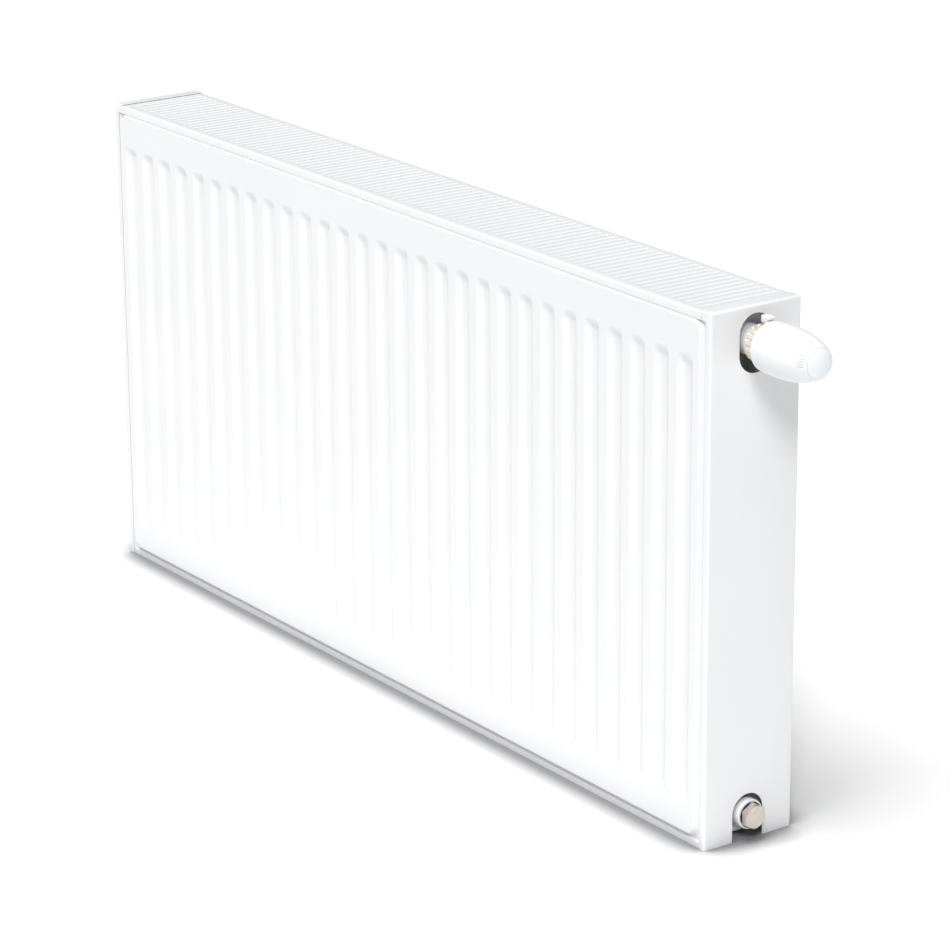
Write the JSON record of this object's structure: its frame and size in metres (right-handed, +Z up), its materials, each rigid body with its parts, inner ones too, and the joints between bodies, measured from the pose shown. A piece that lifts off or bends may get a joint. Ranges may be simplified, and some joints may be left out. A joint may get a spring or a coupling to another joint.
{
  "type": "panel radiator with thermostatic valve",
  "caption": "Flat steel panel radiator with pressed vertical channels, slotted top grille, folded side covers and a rounded thermostatic head at the upper end.",
  "frame": {"origin": "under the middle of the whole length, on the plane of the bottom edges, midway between the front and rear faces", "axes": "+X along the length towards the thermostatic head, +Y towards the wall, +Z up"},
  "size_m": [1.1016, 0.103, 0.5],
  "materials": {
    "white_steel": "smooth semi-gloss white enamel",
    "nickel": "satin nickel plating, warm grey",
    "brass": "machined brass",
    "spring_steel": "plain spring steel",
    "white_plastic": "fine satin moulding",
    "grey_plastic": "very pale blue-grey satin moulding",
    "red_plastic": "plain moulding",
    "black_rubber": "matt rubber"
  },
  "bodies": {
    "radiator_body": {"front_panel_outer_sheet": "white_steel", "front_panel_inner_sheet": "white_steel", "rear_panel_inner_sheet": "white_steel", "rear_panel_outer_sheet": "white_steel", "front_convector": "white_steel", "rear_convector": "white_steel", "side_cover_right": "white_steel", "side_cover_left": "white_steel", "top_grille": "white_steel", "grille_stay_front": "white_steel", "grille_stay_rear": "white_steel", "top_left_tee": "white_steel", "bottom_left_tee": "white_steel", "return_tee": "white_steel", "valve_housing": "white_steel", "flow_nipple": "white_steel", "riser_pipe": "white_steel", "hanging_lug_top_left": "white_steel", "hanging_lug_top_right": "white_steel", "hanging_lug_bottom_left": "white_steel", "hanging_lug_bottom_right": "white_steel", "grille_clip": "spring_steel", "blind_plug_right": "nickel", "blind_plug_left": "nickel", "valve_insert": "brass", "plug_seal_right": "black_rubber", "plug_seal_left": "black_rubber", "stem_spring": "spring_steel", "union_nut": "nickel", "head_base": "white_plastic", "base_latch": "white_plastic", "relief_spring": "spring_steel", "vent_plug": "nickel"},
    "thermostat_handle": {"head_handle": "white_plastic", "end_cap": "grey_plastic"},
    "thermostat_sensor": {"sensor_element": "grey_plastic", "push_pin": "white_plastic"},
    "valve_spindle": {"valve_stem": "spring_steel", "seal_cone": "black_rubber"},
    "preset_dial": {"preset_cartridge": "red_plastic", "stem_gland": "brass"},
    "vent_spindle": {"vent_screw": "brass"},
    "vent_spout": {"vent_nozzle": "white_plastic"}
  },
  "joints": [
    {"name": "handle_turn", "type": "hinge", "parent": "radiator_body", "child": "thermostat_handle", "pos_m": [0.51175, 0, 0.467], "axis": [1, 0, 0], "range_deg": [-150, 150]},
    {"name": "sensor_slide", "type": "slide", "parent": "radiator_body", "child": "thermostat_sensor", "axis": [1, 0, 0], "range_m": [-0.0015, 0.0015], "deforming": ["relief_spring"]},
    {"name": "spindle_slide", "type": "slide", "parent": "radiator_body", "child": "valve_spindle", "axis": [1, 0, 0], "range_m": [-0.0015, 0.0015], "deforming": ["stem_spring"]},
    {"name": "preset_turn", "type": "hinge", "parent": "radiator_body", "child": "preset_dial", "pos_m": [0.44175, 0, 0.467], "axis": [1, 0, 0], "range_deg": [-150, 150]},
    {"name": "vent_screw_turn", "type": "hinge", "parent": "radiator_body", "child": "vent_spindle", "pos_m": [-0.54325, 0, 0.475], "axis": [1, 0, 0], "range_deg": [-360, 0]},
    {"name": "vent_spout_turn", "type": "hinge", "parent": "radiator_body", "child": "vent_spout", "pos_m": [-0.54825, 0, 0.475], "axis": [1, 0, 0], "continuous": true}
  ],
  "couplings": [
    {"joint": "sensor_slide", "follows": "handle_turn", "m_per_rad": 0.00057},
    {"joint": "spindle_slide", "follows": "handle_turn", "m_per_rad": 0.00057}
  ]
}
